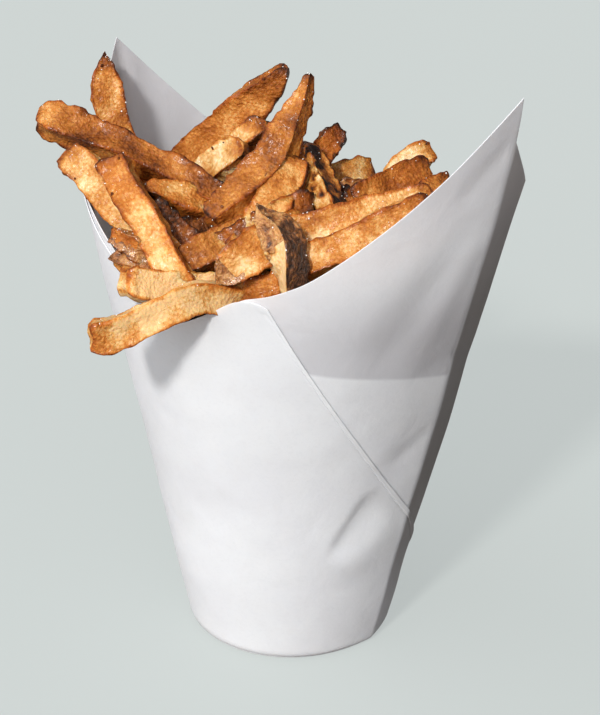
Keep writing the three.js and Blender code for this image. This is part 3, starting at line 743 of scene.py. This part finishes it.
# The fries that show. Each spine runs in mm from the free end to the foot.
HAND_LAID = [
    dict(name="over_rim", width=9, thick=8.5, face=(-0.1, -0.85, 0.45), twist=12, ends=(1.05, 0.9),
         brown=0.02, burnt=(0.2, 0.1), warm=0.7, shade_side=(DOWN, 0.2), knobbly=0.5,
         spine=[(-54, -67, 129), (-46, -66, 129.5), (-38, -63, 132), (-31, -59, 134.5), (-25, -54, 135),
                (-15, -47, 131), (-4, -40, 124)]),
    dict(name="orange_end", width=9.5, thick=9, face=(-0.1, -0.8, 0.6), ends=(1.0, 0.9), brown=-0.1,
         edges=0.45, burnt=(0.22, 0.1), warm=0.65, knobbly=0.8,
         spine=[(-46, -49, 137), (-39, -46, 134), (-26, -42, 132), (-14, -38, 130), (7, -37, 127)]),
    dict(name="skin_end", width=13.5, thick=10, face=(0.15, -0.75, 0.65), brown=0.24, edges=0.2,
         burnt=(0.05, 0.1), warm=0.5, jacket=((-0.75, -0.35, 0.5), 0.15), skinned_end=4.5,
         waist=((0, 0.25), (0.06, 0.5), (0.16, 0.78), (0.3, 0.95), (0.45, 1.0), (1, 0.9)),
         spine=[(-19.6, -53, 138.5), (-17.4, -52, 140.1), (-14.1, -50.5, 143.1), (-10.2, -48.5, 145.5),
                (-5.9, -46, 146.7), (-1.2, -42, 147.4), (3, -36, 146.2)]),
    dict(name="skin_wedge", width=10, thick=8, face=(-0.8, -0.45, 0.4), curl=3, brown=-0.1, edges=0.15,
         burnt=(0.1, 0.0), shade_side=((0.5, -0.8, 0.3), 1.05), jacket=((0.5, -0.8, 0.3), 0.5),
         skinned_end=13, charred=0.1,
         waist=((0, 0.03), (0.06, 0.2), (0.15, 0.5), (0.3, 0.9), (0.5, 1.05), (0.7, 1.0), (1, 0.95)),
         spine=[(-8.8, -44.5, 158.4), (-6.9, -46.5, 155.4), (-5, -48, 153.4), (-2.5, -50, 151),
                (-0.6, -52, 147.7), (-0.1, -53, 143.9), (0.2, -52.5, 139.7), (0.2, -50, 134.3)]),
    dict(name="rim_long", width=10, thick=9, face=(0.1, -0.75, 0.65), ends=(0.9, 0.9), brown=0.23,
         edges=0.35, burnt=(0.2, 0.1), warm=0.5, knobbly=0.8,
         spine=[(39, -44, 158), (22, -46, 149), (6, -49, 143), (0, -49, 140)]),
    dict(name="rim_upper", width=10.5, thick=9, face=(0.1, -0.7, 0.7), twist=-10, ends=(0.85, 0.9),
         brown=0.2, edges=0.35, burnt=(0.2, 0.1), warm=0.3, knobbly=0.8,
         spine=[(40, -33, 156), (27, -36, 152), (14, -39, 150), (-1, -41, 147), (-12, -40, 143)]),
    dict(name="under_skin", width=9, thick=9, face=TO_EYE, brown=0.32, warm=0.5,
         spine=[(-1.2, -50, 136.7), (-7.5, -49, 134.4), (-13.7, -46.5, 131.7), (-22.3, -42, 126.4)]),
    dict(name="olive_mid", width=10.5, thick=9, face=(-0.2, -0.8, 0.6), brown=0.4,
         burnt=(0.1, 0.1), warm=0.15, shade_side=(DOWN, 0.3),
         spine=[(-29, -38, 137.2), (-25.1, -36, 139.4), (-20.6, -33, 140.5), (-15.3, -30, 141.6),
                (-7.7, -25, 142.5)]),
    dict(name="curl_upper", width=6, thick=5, face=(-0.3, -0.5, 0.9), twist=30, brown=0.36,
         burnt=(0.0, 0.1), warm=0.8, jacket=((0.2, -0.5, 0.8), 0.3), knobbly=1.5,
         spine=[(-50, -32, 143.5), (-47, -34, 143), (-43.5, -36, 141.5), (-39, -37, 139),
                (-33, -36, 134)]),
    dict(name="curl_lower", width=8, thick=6, face=(-0.2, -0.6, 0.8), brown=0.34, edges=0.2,
         burnt=(0.0, 0.1), warm=0.7, jacket=((0, -0.5, 1), 0.4), knobbly=1.5,
         spine=[(-49, -35, 139), (-46, -36.5, 138.5), (-42, -38, 138), (-36.5, -39, 136),
                (-30, -38, 132)]),
    dict(name="pale_hand", width=9.3, thick=8, face=(-0.15, -0.87, 0.5), brown=0.18, edges=0.4,
         burnt=(0.22, 0.1), warm=0.8, shade_side=(RIGHT, 0.2), knobbly=0.6,
         waist=((0, 1.1), (0.12, 1.02), (1, 1)),
         spine=[(-50, -16, 160), (-49, -19, 157), (-46, -24, 153), (-41, -31, 148), (-36, -37, 142),
                (-32, -42, 137), (-27, -42, 129)]),
    dict(name="pale_outer", width=10, thick=8.5, face=(-0.35, -0.8, 0.5), ends=(1.0, 0.8), brown=0.17,
         burnt=(0.2, 0.1), warm=0.12, knobbly=0.6,
         spine=[(-64, -6, 157), (-59, -9, 154), (-54.3, -13, 151), (-49, -18, 147), (-42.2, -23, 142),
                (-36, -27, 136), (-30, -28, 130)]),
    dict(name="long_left", width=9.4, thick=8.5, face=(-0.2, -0.8, 0.55), twist=-25, brown=0.53,
         edges=0.14, burnt=(-0.25, 0.1),
         waist=((0, 0.85), (0.05, 1.08), (0.12, 1.18), (0.2, 1.08), (0.3, 0.95), (0.6, 0.88), (1, 0.7)),
         spine=[(-73, 8, 163), (-68, 7, 163), (-61, 5, 160), (-53, 2, 157), (-43, -1, 154),
                (-34, -4, 151), (-24, -8, 147), (-12, -12, 141)]),
    dict(name="leaf", width=11, thick=6, face=(0.1, -0.9, 0.4), brown=0.36, edges=0.4, burnt=(0.35, 0.1),
         warm=0.5, knobbly=1.2,
         waist=((0, 0.1), (0.04, 0.35), (0.11, 0.65), (0.18, 0.89), (0.25, 0.98), (0.38, 0.93),
                (0.65, 0.72), (1, 0.6)),
         spine=[(-55.2, 33, 173.6), (-55.2, 31.5, 169.6), (-55.4, 30, 165.7), (-54.9, 28, 162.2),
                (-54.0, 27, 159.2), (-52.8, 26, 155.4), (-50.4, 24.5, 149.6), (-46.9, 22, 143.6),
                (-44.8, 19, 138.5), (-41, 14, 128)]),
    dict(name="red_stub", width=10.8, thick=9, face=(-0.1, -0.8, 0.6), twist=-25, brown=0.27, edges=0.2,
         burnt=(0.1, 0.1), warm=0.75, shade_side=(DOWN, 0.3),
         waist=((0, 0.3), (0.12, 0.6), (0.28, 1.0), (1, 0.9)),
         spine=[(-42, -14, 149), (-37, -13, 148), (-31, -12, 145), (-24, -11, 143), (-16, -9, 141),
                (4, -8, 138)]),
    dict(name="long_centre", width=11, thick=8, face=(-0.05, -0.8, 0.6), twist=22, brown=0.42, edges=0.15,
         burnt=(0.25, 0.05), warm=0.35, knobbly=1.3,
         waist=((0, 0.2), (0.05, 0.27), (0.12, 0.38), (0.24, 0.6), (0.37, 0.82), (0.52, 0.96),
                (0.75, 1.0), (1, 0.6)),
         spine=[(6, -6, 182), (4, -8, 176), (2, -10, 171), (-1, -13, 165), (-5, -17, 160),
                (-11, -21, 155), (-16, -25, 151), (-22, -30, 147)]),
    dict(name="top_long", width=12.5, thick=8.5, face=(-0.25, -0.8, 0.5), twist=-20, brown=0.34,
         edges=0.22, burnt=(0.35, 0.1), warm=0.5, shade_side=((0.6, -0.5, -0.5), 0.25),
         jacket=(UNDER_RIGHT, 0.35), knobbly=1.2,
         waist=((0, 0.2), (0.03, 0.4), (0.1, 0.64), (0.22, 0.9), (0.36, 1.0), (1, 0.95)),
         spine=[(-1, 13, 177), (-5, 14, 171), (-10, 15, 166), (-16, 17, 159), (-22, 19, 153),
                (-28, 21, 147), (-34, 23, 141), (-42, 24, 132)]),
    dict(name="pale_behind", width=7.5, thick=8, face=(-0.5, -0.6, 0.6), brown=0.16,
         burnt=(0.3, 0.1), warm=0.2, shade_side=(UNDER_RIGHT, 0.5), jacket=(UNDER_RIGHT, 0.55),
         spine=[(-6.5, 4, 161.7), (-10.3, 5, 158.8), (-14.1, 6, 155.2), (-18.6, 7, 151.3),
                (-27.9, 9, 142.8)]),
    dict(name="pale_lower", width=10.5, thick=8, face=(-0.4, -0.7, 0.6), brown=0.12,
         burnt=(0.05, 0.1), warm=0.0, shade_side=(RIGHT, 0.5),
         spine=[(-12.8, -3, 157.3), (-16.6, -1, 154), (-21.4, 2, 149.6), (-25.7, 4, 145.6),
                (-32.4, 7, 137.2)]),
    dict(name="short_mid", width=11.5, thick=9, face=(-0.1, -0.85, 0.5), brown=0.22, edges=0.4,
         burnt=(0.2, 0.1), warm=0.5, shade_side=(RIGHT, 0.4),
         waist=((0, 0.85), (0.15, 1.0), (1, 1.1)),
         spine=[(1, -15, 159), (0, -19, 156), (-3, -24, 153), (-6, -29, 149), (-14, -36, 138)]),
    dict(name="ridged", width=7.5, thick=8, face=(0, -0.8, 0.6), brown=0.5, burnt=(0.2, 0.1),
         warm=0.6, knobbly=1.4,
         spine=[(6, -26, 150), (0, -28, 150), (-6, -31, 147), (-22, -33, 140)]),
    dict(name="burnt_top", width=8, thick=6, face=(0.1, -0.9, 0.4), brown=0.5, edges=0.35,
         burnt=(0.1, 0.1), warm=0.9, charred=0.5, knobbly=1.5,
         waist=((0, 0.5), (0.12, 0.95), (0.4, 1), (1, 0.9)),
         spine=[(15, 4, 161), (12, 1, 158), (8, -3, 154), (5, -9, 150), (0, -18, 143)]),
    dict(name="burnt_skin", width=8.5, thick=8, face=(-0.3, -0.8, 0.5), twist=20, brown=0.22,
         burnt=(0.3, 0.2), warm=0.0, shade_side=(RIGHT, 0.7), charred=0.8, knobbly=1.5,
         waist=((0, 0.5), (0.15, 0.75), (0.4, 1.0), (1, 0.95)),
         spine=[(5, -8, 161), (7, -12, 158), (9, -18, 154), (11, -26, 150), (14, -34, 140)]),
    dict(name="olive_nub", width=9.5, thick=8, face=(0, -0.8, 0.6), ends=(0.8, 0.8), brown=0.18,
         edges=0.4, burnt=(0.15, 0.1), warm=0.0, knobbly=1.6,
         spine=[(24, 10, 146), (19, 7, 147), (12, 3, 145), (-6, -8, 140)]),
    dict(name="nub_top", width=8, thick=6, face=(-0.2, -0.8, 0.6), brown=-0.06, edges=0.4,
         burnt=(0.25, 0.1), warm=0.0, knobbly=1.2,
         spine=[(41.8, 8, 152.2), (38.5, 7, 151.3), (35.3, 6, 149.5), (32.6, 4, 147.5),
                (29.6, 0, 141.9)]),
    dict(name="nub_brown", width=11, thick=10, face=(0, -0.8, 0.6), brown=0.42, edges=0.2,
         burnt=(0.1, 0.1), warm=0.7, knobbly=1.3,
         waist=((0, 0.95), (0.3, 1.0), (0.55, 0.75), (1, 0.6)),
         spine=[(39.3, -3, 148.6), (35.6, -6, 149.5), (31.4, -9, 149.9), (27.3, -12, 149.3),
                (17.3, -20, 149)]),
    dict(name="brown_curl", width=5.5, thick=5, face=(0, -0.7, 0.7), brown=0.42,
         jacket=(UP, 0.35), knobbly=1.4,
         spine=[(28, -12, 147), (22, -13, 149), (16, -15, 150), (0, -20, 144)]),
    dict(name="gold_strip", width=5, thick=5, face=(0, -0.7, 0.7), brown=0.42, warm=0.2,
         knobbly=1.3,
         spine=[(28, -22, 148), (21, -23, 148.5), (13, -25, 148), (2, -28, 143)]),
    dict(name="red_nub", width=5, thick=5, face=(0, -0.8, 0.6), brown=0.52, warm=0.9,
         knobbly=1.5,
         spine=[(17, -17, 151), (15, -18, 149), (13, -20, 146), (8, -24, 138)]),
    dict(name="edge_nub", width=6, thick=7, face=(-0.2, -0.8, 0.6), brown=0.33, warm=0.5,
         shade_side=(LEFT, 0.5),
         spine=[(46, -12, 151), (42, -15, 151), (37, -20, 149), (24, -32, 142)]),
    dict(name="dark_back", width=9, thick=8, face=(-0.1, -0.7, 0.7), brown=0.76, edges=0.1,
         spine=[(-40, -19, 147), (-35, -22, 142), (-28, -26, 136), (-14, -30, 124)]),
    dict(name="dark_mid", width=8.5, thick=8, face=(-0.1, -0.8, 0.6), brown=0.68, edges=0.1, warm=0.1,
         spine=[(-34, -22, 139), (-27, -20, 138), (-19, -17, 138), (-4, -12, 136)]),
]
fine_stick = raw_cut("fine_stick", 60, 10)
laid = [lay_fry(fine_stick, seed=number + 1, **fry) for number, fry in enumerate(HAND_LAID)]
fries_on_top = tip_together(laid, "fries_on_top")
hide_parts("fries")
bpy.data.objects.remove(fine_stick)

# ---- Fries under and behind -------------------------------------------------------------------
# The same cut, tipped in at random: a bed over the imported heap, and a layer over its back that
# falls towards the rear rim.
FRY_NARROWEST, FRY_WIDEST, FRY_THICK = 9, 11.5, 9
FRY_SHORTEST, FRY_LONGEST = 38, 64
SHORTEST_HALF = 8
WALL_CLEAR = 7.9
GOLDEN_ANGLE = 137.5
BED_COUNT, BACK_COUNT, HEAP_REACH = 15, 36, 46
REAR_TOP, RIGHT_REAR_TOP, REAR_FALL = 142, 137, 0.51
WALL_SPOTS = ((20, -36), (28, -24), (35, -12), (38, 2), (34, 16), (24, -8), (26, 24), (18, 34))


def seeded(seed):
    """Draws in 0..1 that come out the same each time."""
    state = [seed]

    def draw():
        state[0] = (state[0] * 1664525 + 1013904223) % 4294967296
        return state[0] / 4294967296
    return draw


def even_spots(count, reach):
    """Spots spread evenly over a round of this reach."""
    for i in range(count):
        radius = reach * math.sqrt((i + 0.5) / count)
        turn = math.radians(i * GOLDEN_ANGLE)
        yield radius * math.cos(turn), radius * math.sin(turn)


def over_core(rise):
    """The height of the bed's fries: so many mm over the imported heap."""
    return lambda x, y: float(core_height(x, y)) + rise


def heap_height(x, y):
    """The height of the rear layer: it falls towards the rear rim and lies lower on the right."""
    return (RIGHT_REAR_TOP if x > 12 else REAR_TOP) - REAR_FALL * y


def tipped_in(spot, height, draw):
    """Where a fry lies whose middle is at the spot, or nothing where the paper leaves no room."""
    def between(low, high):
        return low + draw() * (high - low)
    yaw = between(0, 2 * math.pi)
    half = between(FRY_SHORTEST, FRY_LONGEST) / 2
    tilt = between(-4.5, 4.5)
    finish = []
    for sign in (1, -1):
        reach = half
        while reach > SHORTEST_HALF:
            x, y = spot[0] + sign * reach * math.cos(yaw), spot[1] + sign * reach * math.sin(yaw)
            z = height(x, y) + sign * tilt
            if math.hypot(x - LEAN * z, y) < BASE_RADIUS + SLOPE * z - WALL_CLEAR:
                finish.append(np.array((x, y, z)))
                break
            reach -= 1
    if len(finish) < 2:
        return None
    width, end = between(FRY_NARROWEST, FRY_WIDEST), between(0.55, 0.95)
    twist, bow = between(0, 90), between(-1, 2)
    middle = (finish[0] + finish[1]) / 2 + (0, 0, bow)
    spine = [finish[0], middle, finish[1]]
    return dict(spine=spine, width=width, thick=FRY_THICK, ends=(end, 0.8), twist=twist)


draw = seeded(11)
bed = [tipped_in(spot, over_core(2), draw) for spot in even_spots(BED_COUNT, HEAP_REACH)]
back = [tipped_in(spot, heap_height, draw) for spot in even_spots(BACK_COUNT, HEAP_REACH) if spot[1] > 3]
draw = seeded(29)
bed += [tipped_in(spot, over_core(5), draw) for spot in WALL_SPOTS]
plain_stick = raw_cut("plain_stick", 26, 6)
look = seeded(5)
laid = []
for number, fry in enumerate(bed + back):
    if fry:
        in_bed = number < len(bed)
        # Painted shade: the bed's fries are made browner, most on the left, for the shade deep in the heap.
        brown_with_gap_shade = float(np.interp(fry["spine"][1][0], (8, 20), (0.8, 0.4))) if in_bed else 0.2
        fry["brown"] = brown_with_gap_shade + 0.28 * look()
        fry["warm"] = 0.2 + 0.5 * look()
        jacket = look()
        if jacket > 0.8 and not in_bed:
            fry["jacket"] = ((math.cos(number), math.sin(number), 0.6), 0.45)
        laid.append(lay_fry(plain_stick, f"fry_{number}", seed=number + 40, **fry))
fries_behind = tip_together(laid, "fries_behind")
bpy.data.objects.remove(plain_stick)

# ---- Salt and crumbs --------------------------------------------------------------------------
# Table salt on the oiled crust, and a few dark crumbs of jacket: loose grains that lie where they
# fell, on whatever faces up.
GRAINS, GRAIN_SIZES = 600, (0.15, 0.4)
CRUMBS, CRUMB_SIZES = 40, (0.4, 1.1)
FACING_UP, LOWEST_GRAIN = 0.15, 0.128  # share of a normal that points up, and metres
GRAIN_BEVEL, GRAIN_PROUD = 0.18, 0.1


def scatter_on(heap, count, sizes, name, draw):
    """One piece of small worn cubes on the upward faces of a heap."""
    bpy.ops.object.select_all(action="DESELECT")
    bpy.ops.mesh.primitive_cube_add(size=1, location=(0, 0, 0))
    grain = bpy.context.object
    bpy.ops.object.mode_set(mode="EDIT")
    bpy.ops.mesh.select_all(action="SELECT")
    bpy.ops.mesh.bevel(offset=GRAIN_BEVEL, segments=1, affect="EDGES")
    bpy.ops.object.mode_set(mode="OBJECT")
    grain.name = name
    shape = read_points(grain)
    faces = [list(face.vertices) for face in grain.data.polygons]
    normals, points = read_normals(heap), read_points(heap)
    up = np.flatnonzero((normals[:, 2] > FACING_UP) & (points[:, 2] > LOWEST_GRAIN))
    corners, polygons = [], []
    for i in range(count):
        spot = up[int(draw() * len(up))]
        size = (sizes[0] + (sizes[1] - sizes[0]) * draw() ** 2) * MM
        turned = Vector((draw() - 0.5, draw() - 0.5, draw() - 0.5)).to_track_quat("Z", "Y").to_matrix()
        stretch_by = np.array([0.7 + 0.6 * draw(), 0.7 + 0.6 * draw(), 0.6 + 0.5 * draw()])
        seat = points[spot] + normals[spot] * size * GRAIN_PROUD
        placed = (shape * stretch_by * size) @ np.array(turned).T + seat
        polygons += [[corner + len(corners) * len(shape) for corner in face] for face in faces]
        corners.append(placed)
    grain.data = bpy.data.meshes.new(name)
    grain.data.from_pydata(np.concatenate(corners).tolist(), [], polygons)
    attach(grain, "root")
    return grain


scatter = seeded(3)
salt = scatter_on(fries_on_top, GRAINS, GRAIN_SIZES, "salt", scatter)
salt_finish, nodes, links, shader = new_finish("salt_crystal")
place = nodes.new("ShaderNodeTexCoord")
frost = paint_noise(2500, 2)
salt_tone = blend_colours(stretch(frost, 0.3, 0.7), (0.90, 0.86, 0.80, 1), (1.0, 0.98, 0.95, 1))
links.new(salt_tone, shader.inputs["Base Color"])
links.new(stretch(frost, 0.3, 0.7, 0.08, 0.3), shader.inputs["Roughness"])
salt.data.materials.append(salt_finish)

crumbs = scatter_on(fries_on_top, CRUMBS, CRUMB_SIZES, "crumbs", scatter)
fry_evenly(crumbs, 0.75)

# ---- Floor, light and camera ------------------------------------------------------------------
# A plain pale floor under soft studio light from the upper left.
bpy.ops.object.select_all(action="DESELECT")
bpy.ops.mesh.primitive_plane_add(size=8, location=(0, 0, -0.0001))
floor = bpy.context.object
floor.name = "floor"
floor_finish, nodes, links, shader = new_finish("pale_floor")
place = nodes.new("ShaderNodeTexCoord")
light_path = nodes.new("ShaderNodeLightPath")
pale = blend_colours(paint_noise(3, 2), (0.113, 0.123, 0.118, 1), (0.117, 0.127, 0.122, 1))
floor_tone = blend_colours(light_path.outputs["Is Camera Ray"], (0.15, 0.13, 0.12, 1), pale)
links.new(floor_tone, shader.inputs["Base Color"])
shader.inputs["Emission Color"].default_value = (0.460, 0.492, 0.484, 1)
links.new(light_path.outputs["Is Camera Ray"], shader.inputs["Emission Strength"])
shader.inputs["Roughness"].default_value = 0.9
floor.data.materials.append(floor_finish)


def far_light(name, from_way, spread, power, colour):
    """A far lamp that shines from one way, with its spread in degrees."""
    bpy.ops.object.light_add(type="SUN", location=from_way)
    lamp = bpy.context.object
    lamp.name = name
    lamp.rotation_euler = Vector(from_way).to_track_quat("Z", "Y").to_euler()
    lamp.data.angle = math.radians(spread)
    lamp.data.energy = power
    lamp.data.color = colour


far_light("key_light", (-0.29, -0.73, 0.60), 6, 2.95, (1.0, 0.98, 0.95))
far_light("dome_light", (-0.72, -0.58, 0.34), 140, 3.0, (0.97, 0.98, 1.0))
world = bpy.data.worlds.new("studio")
bpy.context.scene.world = world
world.use_nodes = True
world.node_tree.nodes["Background"].inputs["Color"].default_value = (0.80, 0.86, 0.90, 1)
world.node_tree.nodes["Background"].inputs["Strength"].default_value = 0.22
bpy.context.scene.view_settings.view_transform = "Standard"

LOOK_DOWN = math.radians(27)
CAMERA_AWAY, AIM_HEIGHT = 0.75, 0.090
SENSOR = 36
PICTURE_HIGH, FOCAL_REACH = 715, 2475  # pixels
SHIFT_RIGHT, SHIFT_UP = 10.8, -5  # pixels
bpy.ops.object.camera_add(
    location=(0, -CAMERA_AWAY * math.cos(LOOK_DOWN), AIM_HEIGHT + CAMERA_AWAY * math.sin(LOOK_DOWN)),
    rotation=(math.radians(90) - LOOK_DOWN, 0, 0))
camera = bpy.context.object
camera.data.sensor_width = SENSOR
camera.data.lens = FOCAL_REACH / PICTURE_HIGH * SENSOR
camera.data.shift_x = SHIFT_RIGHT / PICTURE_HIGH
camera.data.shift_y = SHIFT_UP / PICTURE_HIGH
bpy.context.scene.camera = camera
